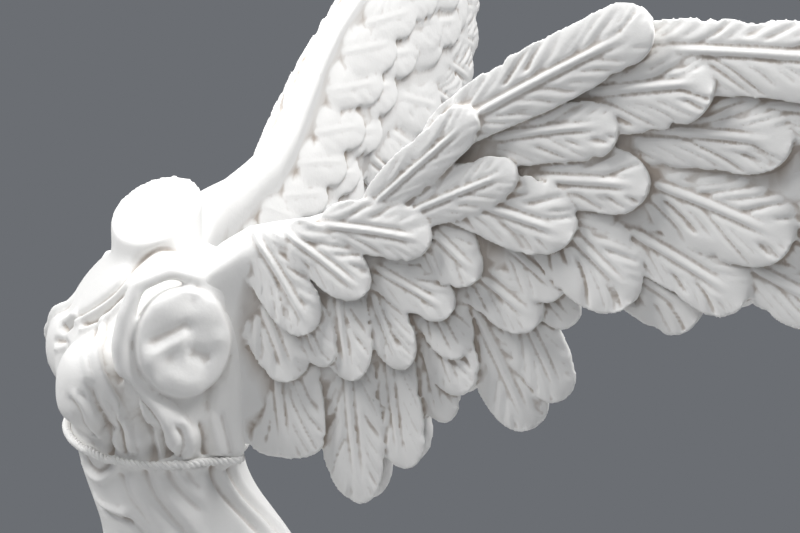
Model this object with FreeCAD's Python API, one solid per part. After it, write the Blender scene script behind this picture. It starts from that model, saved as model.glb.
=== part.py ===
"""Winged classical figurine in cold-cast resin: a headless draped figure on a stepped plinth.

The figure is one casting. Each wing is a second casting whose tenon sits in a socket behind the
shoulder, with two steel dowels through the joint. A screw from below holds the figure to the
plinth through a brass insert, a dowel stops it turning, and a felt pad covers the underside.

Millimetres, +Z up. The figure faces -Y and its left side is +X. The origin is the centre of the
plinth's underside, at the felt pad's lower face.
"""

import FreeCAD
import Part
import math
import os

from FreeCAD import Vector

# Plinth and fastening
PLINTH_WIDTH = 88.0
PLINTH_DEPTH = 108.0
LOWER_STEP_HEIGHT = 10.0
UPPER_STEP_HEIGHT = 10.5
STEP_SETBACK = 6.0
STEP_ROUNDING = 2.5
UPPER_ROUNDING = 0.8
PAD_THICKNESS = 1.5
PAD_INSET = 3.0
PLINTH_TOP = PAD_THICKNESS + LOWER_STEP_HEIGHT + UPPER_STEP_HEIGHT
SCREW_RADIUS = 2.5
SCREW_HEAD_RADIUS = 4.4
SCREW_HEAD_HEIGHT = 3.2
SCREW_LENGTH = 26.0
COUNTERBORE_RADIUS = 6.5
COUNTERBORE_DEPTH = 7.0
WASHER_RADIUS = 5.6
WASHER_THICKNESS = 1.0
INSERT_RADIUS = 4.0
INSERT_LENGTH = 16.0
PEG_RADIUS = 2.0
PEG_LENGTH = 14.0
PEG_OFFSET = 18.0

# Figure
FIGURE_Y = -14.0  # the neck's axis, forward of the plinth's centre
SHOULDER_Z = 232.0
GROUND_HEIGHT = 6.0
SECTION_POINTS = 24
# The skirt's hanging folds: how many go round, how deep they are at the hem, and where they start.
FOLD_COUNT = 11
FOLD_DEPTH = 1.5
FOLD_TOP = 160.0
FOLD_LEAN = 0.006  # turn of the folds per millimetre of fall, in radians
FOLD_POINTS = 66

# Each section of the draped figure: height, centre x and y from the neck's axis, half width,
# half depth, then the turn about the vertical and the tilt to the figure's left, in degrees.
TORSO = [
    (PLINTH_TOP, 2, 18, 26, 29, 0, 0),
    (30, 2, 17, 24, 27, 0, 0),
    (55, 1, 14, 21.5, 23.5, 0, 0),
    (85, 0, 11.5, 20.5, 21.5, 0, 0),
    (115, -1, 11, 22, 22, 0, 0),
    (140, -1, 11, 24, 23, 0, 0),
    (158, -1, 11, 22.5, 22, 2, 0),
    (170, -0.5, 9.0, 20, 19.5, 4, 2),
    (181, 0, 6.2, 17.8, 16.4, 6, 4),
    (190, 0, 1.8, 16.8, 14.8, 8, 6),
    (198, 0, -0.2, 17.2, 14.6, 10, 7),
    (208, 0, -2.2, 18.6, 15.2, 10, 7),
    (218, 0, -2.2, 19.6, 13.6, 10, 7),
    (225, 0, -1.0, 17.0, 11.0, 10, 6),
    (230.5, 0, 0, 11.0, 8.6, 10, 5),
]
NECK_RADIUS = 8.2
NECK_SLIM = 0.9  # the neck's width over its depth
NECK_CUT_CENTRE_Z = 239.5
NECK_CUT_NORMAL = Vector(0.44, -0.33, 0.83)
BREAST_RADII = (7.4, 7.0, 8.4)
BREASTS = [Vector(8.2, -13.6, 210.5), Vector(-9.2, -11.4, 213.5)]
# Arm stumps: centre of the broken face, the way it faces, its half height and half depth.
ARM_STUMPS = [
    (Vector(21.5, -0.9, 219.0), Vector(1.0, -0.06, 0.05), 9.6, 8.4),
    (Vector(-20.5, -4.5, 216.5), Vector(-1.0, -0.2, 0.1), 8.8, 7.8),
]
STUMP_LENGTH = 12.0
BELT_Z = 198.6
BELT_RADIUS = 1.3
# Legs and trailing cloth: each row is a height, a centre and two half sizes.
RIGHT_LEG = [
    (162, -9, 6, 8, 9),
    (148, -10, 0, 11, 12),
    (128, -11, -8, 11.5, 12),
    (104, -11, -14, 10, 10.5),
    (84, -11, -15, 8.6, 9),
    (60, -11, -16, 8, 9),
    (38, -11, -18, 9, 10.5),
    (PLINTH_TOP, -11, -20, 12, 13),
]
LEFT_LEG = [
    (164, 8, 9, 8, 9),
    (148, 10, 5, 11.5, 12),
    (125, 13, 2, 11.5, 12),
    (100, 14, 2, 10, 10.5),
    (76, 15, 8, 9, 10),
    (50, 15, 16, 9, 11),
    (PLINTH_TOP, 15, 23, 13, 16),
]
MANTLE = [
    (164, 3, 4, 6, 6),
    (146, 3, -6, 8, 7),
    (120, 3, -11, 7.5, 7.5),
    (90, 2, -13, 6.5, 8),
    (60, 2, -14, 7, 9),
    (36, 3, -16, 8.5, 10),
    (PLINTH_TOP, 3, -17, 10, 12),
]
TRAIN = [
    (182, 1, 12, 8, 6),
    (168, 1, 22, 13, 9),
    (150, 1, 27, 16, 10),
    (115, 1, 30, 17, 12),
    (75, 2, 33, 19, 14),
    (42, 3, 38, 21, 16),
    (PLINTH_TOP, 4, 42, 22, 18),
]
GROUND_CENTRE_Y = 14.0
GROUND_HALF_WIDTH = 33.0
GROUND_HALF_DEPTH = 46.0

# Wings. A point on a wing is (h, v): h along the wing's plan curve from its root, v above the
# shoulders. The plan curve leaves the root at one angle from straight back and opens to another.
WING_ROOT = Vector(15.0, 8.0, SHOULDER_Z)
ROOT_ANGLE = 35.0
TIP_ANGLE = 58.0
WING_SPAN = 140.0
WING_STEPS = 14
WING_OVERLAP = 8.0  # how far the casting starts inside the figure, before it is trimmed
BLADE_THICKNESS = (5.0, 2.6)  # at the root and at the tip
COVERT_THICKNESS = (10.5, 4.6)
# The mass that the feathers stand out of, as an outline in (h, v).
BLADE_OUTLINE = [
    (-8, 4), (10, 4), (22, 8), (31, 13), (41, 25), (58, 37), (76, 44), (96, 43), (116, 36),
    (119, 24), (112, 12), (96, 6), (80, 3), (66, 1), (54, -10), (40, -14), (26, -24), (12, -28),
    (-8, -30),
]
COVERT_OUTLINE = [
    (-8, 3), (10, 3), (22, 7), (31, 12), (42, 25), (60, 37), (80, 44), (98, 41), (90, 34),
    (68, 22), (50, 12), (40, 2), (28, -12), (12, -18), (-8, -20),
]
# Feathers: root h, root v, tip h, tip v, width.
FLIGHT_FEATHERS = [
    (6, -14, 14, -34, 13), (22, -14, 24, -42, 11), (29, -14, 34, -36, 9), (38, -8, 47, -22, 9),
    (46, -6, 60, -27, 11), (54, -5, 65, -20, 9), (50, 6, 66, -6, 10), (57, 14, 76, -3, 13),
    (67, 8, 87, -4, 11), (68, 13, 97, 0, 12), (72, 18, 106, 7, 13), (84, 13, 118, 3, 12),
    (86, 21, 129, 10, 13), (90, 27, 136, 18, 13), (90, 32, 138, 27, 13), (86, 37, 132, 35, 12),
]
COVERTS = [
    (6, 2, 17, -11, 9), (12, 4, 27, -6, 9), (21, 7, 39, 2, 8), (30, 9, 48, 25, 7),
    (40, 26, 78, 46, 8), (76, 39, 110, 40, 10), (5, -6, 14, -21, 10), (17, -2, 24, -20, 9),
    (24, -1, 35, -17, 8), (29, 3, 43, -6, 8), (32, 10, 48, 0, 8), (36, 11, 55, 19, 8),
    (47, 22, 73, 27, 10), (60, 30, 90, 37, 11), (43, 14, 66, 8, 11),
]
TENON_HEIGHT = 13.0
TENON_THICKNESS = 5.2
TENON_DEPTH = 8.0
TENON_Z = 214.4
DOWEL_RADIUS = 1.25
DOWEL_LENGTH = 18.0
DOWEL_HEIGHTS = (226.0, 202.5)
GLUE_GAP = 0.15


def smooth_closed(points):
    """A smooth closed wire through points."""
    curve = Part.BSplineCurve()
    curve.interpolate(Points=points, PeriodicFlag=True)
    return Part.Wire([curve.toShape()])


def fold_offset(z, angle):
    """How far the cloth stands out of its plain oval, at a height and an angle round it."""
    fall = max(FOLD_TOP - z, 0.0)
    depth = FOLD_DEPTH * min(fall / (FOLD_TOP - PLINTH_TOP), 1.0)
    return depth * math.cos(FOLD_COUNT * (angle + FOLD_LEAN * fall))


def section(z, cx, cy, half_width, half_depth, turn=0.0, tilt=0.0, folds=False):
    """One oval section of the figure, about the neck's axis, plain or with hanging folds."""
    turned = math.radians(turn)
    slope = math.tan(math.radians(tilt))
    count = FOLD_POINTS if folds else SECTION_POINTS
    points = []
    for i in range(count):
        angle = 2 * math.pi * i / count
        out = fold_offset(z, angle) if folds else 0.0
        x = (half_width + out) * math.cos(angle)
        y = (half_depth + out) * math.sin(angle)
        along_x = x * math.cos(turned) - y * math.sin(turned)
        along_y = x * math.sin(turned) + y * math.cos(turned)
        points.append(Vector(cx + along_x, cy + along_y, z - along_x * slope))
    return smooth_closed(points)


def loft(rows, folds=False):
    return Part.makeLoft([section(*row, folds=folds) for row in rows], True, False)


def ellipsoid(centre, radii):
    ball = Part.makeSphere(1.0)
    stretch = FreeCAD.Matrix()
    stretch.scale(*radii)
    ball = ball.transformGeometry(stretch)
    ball.translate(centre)
    return ball


def oval_prism(centre, along, across, axis, half_along, half_across, length):
    """A straight solid of elliptical section: half_along on the along axis, length on axis."""
    if half_along < half_across:
        along, across = across, along
        half_along, half_across = half_across, half_along
    ring = Part.Ellipse(
        centre + along * half_along, centre + across * half_across, centre
    )
    face = Part.Face(Part.Wire([ring.toShape()]))
    return face.extrude(axis * length)


def neck():
    """The neck's stump, cut off by a sloping plane."""
    base = Vector(0, 0, SHOULDER_Z - 10)
    column = oval_prism(
        base, Vector(0, 1, 0), Vector(1, 0, 0), Vector(0, 0, 1),
        NECK_RADIUS, NECK_RADIUS * NECK_SLIM, 40,
    )
    normal = Vector(NECK_CUT_NORMAL)
    normal.normalize()
    cutter = Part.makeCylinder(40, 40, Vector(0, 0, NECK_CUT_CENTRE_Z), normal)
    return column.cut(cutter)


def arm_stump(centre, facing, half_height, half_depth):
    """A short upper arm that ends in a flat break."""
    axis = Vector(facing)
    axis.normalize()
    up = Vector(0, 0, 1)
    across = axis.cross(up)
    across.normalize()
    up = across.cross(axis)
    return oval_prism(centre, up, across, axis * -1, half_height, half_depth, STUMP_LENGTH)


def belt():
    """The round cord under the breasts, as a torus-like ring that follows the torso."""
    rows = [row for row in TORSO if abs(row[0] - BELT_Z) < 2]
    z, cx, cy, half_width, half_depth, turn, tilt = rows[0]
    path = section(BELT_Z, cx, cy - 0.2, half_width + 0.3, half_depth + 0.2, turn, tilt)
    edge = path.Edges[0]
    start = edge.valueAt(edge.FirstParameter)
    tangent = edge.tangentAt(edge.FirstParameter)
    ring = Part.Wire([Part.makeCircle(BELT_RADIUS, start, tangent)])
    return path.makePipeShell([ring], True, False)


def ground():
    """The low mound that is cast with the figure's feet."""
    mound = oval_prism(
        Vector(0, GROUND_CENTRE_Y, PLINTH_TOP), Vector(0, 1, 0), Vector(1, 0, 0),
        Vector(0, 0, 1), GROUND_HALF_DEPTH, GROUND_HALF_WIDTH, GROUND_HEIGHT,
    )
    rim = [e for e in mound.Edges if abs(e.CenterOfMass.z - PLINTH_TOP - GROUND_HEIGHT) < 0.1]
    return mound.makeFillet(2.5, rim)


def figure_mass():
    """The figure before its sockets and holes are cut."""
    body = loft(TORSO, folds=True)
    pieces = [loft(rows) for rows in (RIGHT_LEG, LEFT_LEG, MANTLE, TRAIN)]
    pieces += [neck(), belt(), ground()]
    pieces += [arm_stump(*stump) for stump in ARM_STUMPS]
    pieces += [ellipsoid(centre, BREAST_RADII) for centre in BREASTS]
    for piece in pieces:
        body = body.fuse(piece)
    return body


def plan_angle(h):
    share = min(max(h / WING_SPAN, 0.0), 1.0)
    return math.radians(ROOT_ANGLE + (TIP_ANGLE - ROOT_ANGLE) * share)


def plan_point(h):
    """The plan curve at h, at shoulder height. The curve runs straight before its root."""
    x, y = WING_ROOT.x, WING_ROOT.y
    if h <= 0:
        return Vector(x + h * math.sin(plan_angle(0)), y + h * math.cos(plan_angle(0)), SHOULDER_Z)
    steps = 40
    for i in range(steps):
        angle = plan_angle(h * (i + 0.5) / steps)
        x += math.sin(angle) * h / steps
        y += math.cos(angle) * h / steps
    return Vector(x, y, SHOULDER_Z)


def plan_normal(h):
    """Points forward and away from the figure."""
    return Vector(math.cos(plan_angle(h)), -math.sin(plan_angle(h)), 0)


MEAN_ANGLE = math.radians((ROOT_ANGLE + TIP_ANGLE) / 2)
MEAN_ALONG = Vector(math.sin(MEAN_ANGLE), math.cos(MEAN_ANGLE), 0)
MEAN_NORMAL = Vector(math.cos(MEAN_ANGLE), -math.sin(MEAN_ANGLE), 0)


def flat_point(h, v):
    """(h, v) moved along the mean normal onto the flat plane through the root."""
    offset = plan_point(h) - WING_ROOT
    return WING_ROOT + MEAN_ALONG * offset.dot(MEAN_ALONG) + Vector(0, 0, v)


def wing_wall(thickness):
    """A tall wall on the plan curve, thick at the root and thin at the tip."""
    outer, inner = [], []
    reach = WING_SPAN + 6
    for i in range(WING_STEPS + 1):
        h = -WING_OVERLAP + (reach + WING_OVERLAP) * i / WING_STEPS
        share = min(max(h / WING_SPAN, 0.0), 1.0)
        half = (thickness[0] + (thickness[1] - thickness[0]) * share) / 2
        outer.append(plan_point(h) + plan_normal(h) * half - Vector(0, 0, 60))
        inner.append(plan_point(h) - plan_normal(h) * half - Vector(0, 0, 60))
    front, back = Part.BSplineCurve(), Part.BSplineCurve()
    front.interpolate(Points=outer)
    back.interpolate(Points=inner)
    edges = [
        front.toShape(),
        Part.makeLine(outer[-1], inner[-1]),
        back.toShape(),
        Part.makeLine(inner[0], outer[0]),
    ]
    return Part.Face(Part.Wire(Part.__sortEdges__(edges))).extrude(Vector(0, 0, 125))


def feather_face(root_h, root_v, tip_h, tip_v, width):
    """A feather's flat outline: an ellipse from its root to its tip."""
    root, tip = flat_point(root_h, root_v), flat_point(tip_h, tip_v)
    centre = (root + tip) * 0.5
    along = tip - root
    half_length = along.Length / 2
    along.normalize()
    across = MEAN_NORMAL.cross(along)
    half_width = min(width / 2, half_length * 0.98)
    ring = Part.Ellipse(centre + along * half_length, centre + across * half_width, centre)
    return Part.Face(Part.Wire([ring.toShape()]))


def feathered_layer(outline, feathers, thickness):
    """One layer of a wing: an outline and its feathers, cut through the curved wall."""
    core = Part.Face(Part.makePolygon([flat_point(*p) for p in outline + outline[:1]]))
    flat = core.multiFuse([feather_face(*f) for f in feathers]).removeSplitter()
    flat.translate(MEAN_NORMAL * -40)
    return flat.extrude(MEAN_NORMAL * 80).common(wing_wall(thickness))


def root_frame():
    """The root's place and the way the tenon leaves the wing."""
    return plan_point(0), Vector(-math.sin(plan_angle(0)), -math.cos(plan_angle(0)), 0)


def tenon(gap=0.0):
    """The block on the wing's root; with a gap, the socket that takes it."""
    root, inward = root_frame()
    across = plan_normal(0)
    thickness, height = TENON_THICKNESS + 2 * gap, TENON_HEIGHT + 2 * gap
    reach = TENON_DEPTH + gap
    start = Vector(root.x, root.y, TENON_Z) - inward * 9
    corners = [
        start + across * (thickness / 2) - Vector(0, 0, height / 2),
        start - across * (thickness / 2) - Vector(0, 0, height / 2),
        start - across * (thickness / 2) + Vector(0, 0, height / 2),
        start + across * (thickness / 2) + Vector(0, 0, height / 2),
    ]
    return Part.Face(Part.makePolygon(corners + corners[:1])).extrude(inward * (reach + 9))


def wing_dowel(height, radius, length):
    root, inward = root_frame()
    middle = Vector(root.x, root.y, height)
    return Part.makeCylinder(radius, length, middle - inward * (length / 2), inward)


def left_wing(figure):
    blade = feathered_layer(BLADE_OUTLINE, FLIGHT_FEATHERS, BLADE_THICKNESS)
    coverts = feathered_layer(COVERT_OUTLINE, COVERTS, COVERT_THICKNESS)
    wing = blade.fuse(coverts).cut(figure).fuse(tenon())
    for height in DOWEL_HEIGHTS:
        wing = wing.cut(wing_dowel(height, DOWEL_RADIUS + 0.02, DOWEL_LENGTH + 0.4))
    return wing


def mirrored(shape):
    return shape.mirror(Vector(0, 0, 0), Vector(1, 0, 0))


def finished_figure(mass):
    """The figure with its wing sockets, dowel holes and base fastening cut."""
    cutters = []
    for flip in (lambda s: s, mirrored):
        cutters.append(flip(tenon(GLUE_GAP)))
        for height in DOWEL_HEIGHTS:
            cutters.append(flip(wing_dowel(height, DOWEL_RADIUS + 0.02, DOWEL_LENGTH + 0.4)))
    floor = Vector(0, -FIGURE_Y, PLINTH_TOP)
    up = Vector(0, 0, 1)
    cutters.append(Part.makeCylinder(INSERT_RADIUS + 0.02, INSERT_LENGTH + 0.5, floor, up))
    cutters.append(Part.makeCylinder(SCREW_RADIUS + 0.5, INSERT_LENGTH + 6, floor, up))
    peg = floor + Vector(0, PEG_OFFSET, 0)
    cutters.append(Part.makeCylinder(PEG_RADIUS + 0.05, PEG_LENGTH / 2 + 0.5, peg, up))
    for cutter in cutters:
        mass = mass.cut(cutter)
    return mass


def box_about(width, depth, z, height):
    return Part.makeBox(width, depth, height, Vector(-width / 2, -depth / 2, z))


def plinth():
    """Two steps with rounded upper edges, bored for the screw and the peg."""
    lower_top = PAD_THICKNESS + LOWER_STEP_HEIGHT
    lower = box_about(PLINTH_WIDTH, PLINTH_DEPTH, PAD_THICKNESS, LOWER_STEP_HEIGHT)
    rim = [e for e in lower.Edges if e.BoundBox.ZMin > lower_top - 0.01]
    lower = lower.makeFillet(STEP_ROUNDING, rim)
    upper = box_about(
        PLINTH_WIDTH - 2 * STEP_SETBACK, PLINTH_DEPTH - 2 * STEP_SETBACK, lower_top,
        UPPER_STEP_HEIGHT,
    )
    rim = [e for e in upper.Edges if e.BoundBox.ZMin > PLINTH_TOP - 0.01]
    upper = upper.makeFillet(UPPER_ROUNDING, rim)
    block = lower.fuse(upper).removeSplitter()
    up = Vector(0, 0, 1)
    below = Vector(0, 0, PAD_THICKNESS)
    block = block.cut(Part.makeCylinder(COUNTERBORE_RADIUS, COUNTERBORE_DEPTH, below, up))
    block = block.cut(Part.makeCylinder(SCREW_RADIUS + 0.3, 40, below, up))
    peg_hole = Vector(0, PEG_OFFSET, PLINTH_TOP - PEG_LENGTH / 2 - 0.5)
    return block.cut(Part.makeCylinder(PEG_RADIUS + 0.05, 20, peg_hole, up))


def felt_pad():
    width, depth = PLINTH_WIDTH - 2 * PAD_INSET, PLINTH_DEPTH - 2 * PAD_INSET
    pad = box_about(width, depth, 0, PAD_THICKNESS)
    corners = [e for e in pad.Edges if e.BoundBox.ZLength > PAD_THICKNESS * 0.9]
    return pad.makeFillet(4.0, corners)


def base_screw():
    """A pan-head screw with a cross-like slot, drawn at its thread's outer diameter."""
    seat = PAD_THICKNESS + COUNTERBORE_DEPTH - WASHER_THICKNESS
    up = Vector(0, 0, 1)
    head = Part.makeCylinder(
        SCREW_HEAD_RADIUS, SCREW_HEAD_HEIGHT, Vector(0, 0, seat - SCREW_HEAD_HEIGHT), up
    )
    rim = [e for e in head.Edges if e.BoundBox.ZMax < seat - SCREW_HEAD_HEIGHT + 0.01]
    head = head.makeFillet(1.2, rim)
    shank = Part.makeCylinder(SCREW_RADIUS, SCREW_LENGTH, Vector(0, 0, seat), up)
    slot = Part.makeBox(6, 1.1, 1.4, Vector(-3, -0.55, seat - SCREW_HEAD_HEIGHT - 0.1))
    cross = Part.makeBox(1.1, 6, 1.4, Vector(-0.55, -3, seat - SCREW_HEAD_HEIGHT - 0.1))
    return head.fuse(shank).cut(slot).cut(cross)


def base_washer():
    seat = PAD_THICKNESS + COUNTERBORE_DEPTH - WASHER_THICKNESS
    place, up = Vector(0, 0, seat), Vector(0, 0, 1)
    ring = Part.makeCylinder(WASHER_RADIUS, WASHER_THICKNESS, place, up)
    return ring.cut(Part.makeCylinder(SCREW_RADIUS + 0.2, WASHER_THICKNESS, place, up))


def threaded_insert():
    """A brass sleeve with two grip grooves, cast into the figure's foot."""
    place, up = Vector(0, 0, PLINTH_TOP), Vector(0, 0, 1)
    sleeve = Part.makeCylinder(INSERT_RADIUS, INSERT_LENGTH, place, up)
    for share in (0.35, 0.65):
        groove = Part.makeTorus(
            INSERT_RADIUS + 0.2, 0.7, place + Vector(0, 0, INSERT_LENGTH * share), up
        )
        sleeve = sleeve.cut(groove)
    return sleeve.cut(Part.makeCylinder(SCREW_RADIUS + 0.05, INSERT_LENGTH, place, up))


def steel_peg(radius, length, start, axis):
    """A ground pin with chamfered ends."""
    pin = Part.makeCylinder(radius, length, start, axis)
    ends = [e for e in pin.Edges if e.Curve.TypeId == "Part::GeomCircle"]
    return pin.makeChamfer(min(0.3, radius / 4), ends)


def main():
    os.makedirs("parts", exist_ok=True)
    offset = Vector(0, FIGURE_Y, 0)
    mass = figure_mass()
    wing = left_wing(mass)
    root, inward = root_frame()
    dowels = [
        steel_peg(
            DOWEL_RADIUS, DOWEL_LENGTH,
            Vector(root.x, root.y, z) - inward * (DOWEL_LENGTH / 2), inward,
        )
        for z in DOWEL_HEIGHTS
    ]
    figure_nodes = {
        "figure_casting": finished_figure(mass),
        "left_wing": wing,
        "right_wing": mirrored(wing),
        "left_wing_dowels": Part.makeCompound(dowels),
        "right_wing_dowels": Part.makeCompound([mirrored(d) for d in dowels]),
    }
    for shape in figure_nodes.values():
        shape.translate(offset)
    base_nodes = {
        "plinth": plinth(),
        "felt_pad": felt_pad(),
        "base_screw": base_screw(),
        "base_washer": base_washer(),
        "threaded_insert": threaded_insert(),
        "locating_peg": steel_peg(
            PEG_RADIUS, PEG_LENGTH, Vector(0, PEG_OFFSET, PLINTH_TOP - PEG_LENGTH / 2),
            Vector(0, 0, 1),
        ),
    }
    for name, shape in {**figure_nodes, **base_nodes}.items():
        shape.exportStep(f"parts/{name}.step")
        print(name, len(shape.Solids), round(shape.Volume), shape.isValid())


main()
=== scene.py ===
"""Looks for the winged figurine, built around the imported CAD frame.

Lengths in this file are millimetres until a mesh is made; the frame itself is in metres. The
figure faces -Y, its left is +X, and "neck coordinates" have their origin on the neck's axis, which
stands FIGURE_Y from the plinth's centre.
"""

import math

import bmesh
import bpy
import numpy as np
from mathutils import Matrix, Vector
from mathutils.bvhtree import BVHTree

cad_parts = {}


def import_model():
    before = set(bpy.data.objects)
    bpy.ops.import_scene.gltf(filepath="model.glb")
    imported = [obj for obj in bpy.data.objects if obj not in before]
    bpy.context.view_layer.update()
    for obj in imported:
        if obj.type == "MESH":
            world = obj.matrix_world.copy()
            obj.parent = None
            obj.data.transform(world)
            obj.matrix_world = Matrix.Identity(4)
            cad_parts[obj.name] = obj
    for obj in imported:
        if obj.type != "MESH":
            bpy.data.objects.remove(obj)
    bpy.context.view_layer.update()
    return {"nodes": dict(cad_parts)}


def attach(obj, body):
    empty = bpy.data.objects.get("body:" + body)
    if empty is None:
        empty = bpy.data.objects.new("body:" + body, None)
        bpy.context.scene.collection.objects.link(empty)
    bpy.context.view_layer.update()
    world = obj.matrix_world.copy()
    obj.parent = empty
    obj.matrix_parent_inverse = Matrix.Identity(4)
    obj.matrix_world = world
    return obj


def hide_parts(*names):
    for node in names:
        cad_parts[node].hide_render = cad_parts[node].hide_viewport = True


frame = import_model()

FIGURE_Y = -14.0
SHOULDER_Z = 232.0
WING_TRIANGLES = 200000
BODY_TRIANGLES = 240000

# ---------------------------------------------------------------- meshes as arrays


def grid_quads(rows, columns, start=0):
    """Quads of a grid whose points are numbered row by row."""
    i = np.arange(rows - 1)[:, None] * columns + np.arange(columns - 1)[None, :] + start
    i = i.ravel()
    return np.stack([i, i + 1, i + columns + 1, i + columns], 1)


def closed_slab(top, bottom):
    """A closed solid between two (rows, columns, 3) grids with the same outline."""
    rows, columns = top.shape[:2]
    count = rows * columns
    points = np.concatenate([top.reshape(-1, 3), bottom.reshape(-1, 3)])
    over = grid_quads(rows, columns)
    under = grid_quads(rows, columns, count)[:, ::-1]
    ring = np.concatenate(
        [
            np.arange(columns),
            np.arange(1, rows) * columns + columns - 1,
            np.arange(columns - 2, -1, -1) + (rows - 1) * columns,
            np.arange(rows - 2, 0, -1) * columns,
        ]
    )
    after = np.roll(ring, -1)
    wall = np.stack([ring, ring + count, after + count, after], 1)
    return points, np.concatenate([over, under, wall])


def join(parts):
    """Several (points, quads) as one."""
    points, quads, start = [], [], 0
    for p, q in parts:
        points.append(p)
        quads.append(q + start)
        start += len(p)
    return np.concatenate(points), np.concatenate(quads)


def object_from(name, points, quads):
    """A linked mesh object from points in millimetres."""
    mesh = bpy.data.meshes.new(name)
    mesh.vertices.add(len(points))
    mesh.vertices.foreach_set("co", (points * 0.001).astype(np.float32).ravel())
    mesh.loops.add(quads.size)
    mesh.loops.foreach_set("vertex_index", quads.astype(np.int32).ravel())
    mesh.polygons.add(len(quads))
    starts = np.arange(len(quads), dtype=np.int32) * quads.shape[1]
    mesh.polygons.foreach_set("loop_start", starts)
    mesh.update(calc_edges=True)
    mesh.validate()
    made = bpy.data.objects.new(name, mesh)
    bpy.context.scene.collection.objects.link(made)
    return made


def apply_modifiers(made):
    """Replaces an object's mesh by what its modifiers give."""
    graph = bpy.context.evaluated_depsgraph_get()
    mesh = bpy.data.meshes.new_from_object(made.evaluated_get(graph))
    made.modifiers.clear()
    made.data = mesh
    return made


def remeshed(made, voxel):
    """The object as one clean skin of small squares, voxel millimetres apart."""
    step = made.modifiers.new("skin", "REMESH")
    step.mode = "VOXEL"
    step.voxel_size = voxel * 0.001
    return apply_modifiers(made)


def decimated(made, triangles):
    """The object with at most that many triangles."""
    count = sum(len(p.vertices) - 2 for p in made.data.polygons)
    if count > triangles:
        step = made.modifiers.new("fewer", "DECIMATE")
        step.ratio = triangles / count
        apply_modifiers(made)
    return made


class Skin:
    """A mesh's points in neck coordinates, with the neighbours needed to smooth and carve it."""

    def __init__(self, made):
        mesh = made.data
        self.made = made
        co = np.empty(len(mesh.vertices) * 3, np.float32)
        mesh.vertices.foreach_get("co", co)
        self.co = co.reshape(-1, 3).astype(float) * 1000
        self.co[:, 1] -= FIGURE_Y
        edges = np.empty(len(mesh.edges) * 2, np.int32)
        mesh.edges.foreach_get("vertices", edges)
        self.edges = edges.reshape(-1, 2)
        self.degree = np.bincount(edges, minlength=len(self.co)).clip(1)

    def store(self):
        """Writes the points back to the mesh, in the frame's metres."""
        out = self.co.copy()
        out[:, 1] += FIGURE_Y
        self.made.data.vertices.foreach_set("co", (out * 0.001).astype(np.float32).ravel())
        self.made.data.update()

    def normals(self):
        """The mesh's normals at the points as they are now."""
        self.store()
        n = np.empty(len(self.co) * 3, np.float32)
        self.made.data.vertex_normals.foreach_get("vector", n)
        return n.reshape(-1, 3).astype(float)

    def around(self, values):
        """The mean of each point's neighbours."""
        a, b = self.edges[:, 0], self.edges[:, 1]
        size = len(self.co)
        out = [
            np.bincount(a, values[b, k], size) + np.bincount(b, values[a, k], size)
            for k in range(values.shape[1])
        ]
        return np.stack(out, 1) / self.degree[:, None]

    def smooth(self, rounds, strength=0.5, where=None):
        """Moves each point towards its neighbours' mean, by a share that where scales."""
        weight = strength if where is None else (strength * where)[:, None]
        for _ in range(rounds):
            self.co += (self.around(self.co) - self.co) * weight

    def hollow(self, rounds):
        """How deep each point lies below its surroundings, in millimetres."""
        n = self.normals()
        wide = self.co.copy()
        for _ in range(rounds):
            wide += (self.around(wide) - wide) * 0.7
        return ((wide - self.co) * n).sum(1)

    def save_hollows(self, scale=1.0):
        """Keeps fine and broad hollows as mesh attributes, which the resin darkens with a real wash
        and painted shade.
        """
        mesh = self.made.data
        for name, rounds in (("fine_hollow", 3), ("broad_hollow", 22)):
            layer = mesh.attributes.new(name, "FLOAT", "POINT")
            layer.data.foreach_set("value", (self.hollow(rounds) * scale).astype(np.float32))


def ramp(value, low, high):
    """0 below low, 1 above high, smooth between."""
    x = np.clip((value - low) / (high - low), 0, 1)
    return x * x * (3 - 2 * x)


# ---------------------------------------------------------------- wings

# A point on a wing is (h, v): h along its plan curve from the root, v above the shoulders.
WING_ROOT = (15.0, 8.0)
ROOT_ANGLE = math.radians(35.0)
TIP_ANGLE = math.radians(58.0)
WING_SPAN = 140.0
TURN = (TIP_ANGLE - ROOT_ANGLE) / WING_SPAN
FEATHER_STEP = 0.34
WING_VOXEL = 0.32

# The leading edge and the lower limit of the wing's solid middle, as h against v.
LEADING_EDGE = (
    (-8, 0, 5, 10, 16, 23, 28, 34, 40, 46, 52, 61, 70, 79, 90, 100, 108, 116, 126),
    (-3, 3.5, 6.5, 7.6, 8.6, 11, 13, 17.5, 24, 30, 34.5, 39.5, 42.5, 43.5, 43, 42, 40, 37, 32),
)
MIDDLE_BELOW = (
    (-8, 0, 8, 15, 24, 34, 44, 56, 66, 80, 100, 126),
    (-32, -32, -32, -27, -22, -16, -10, -2, 2, 6, 12, 22),
)
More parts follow.
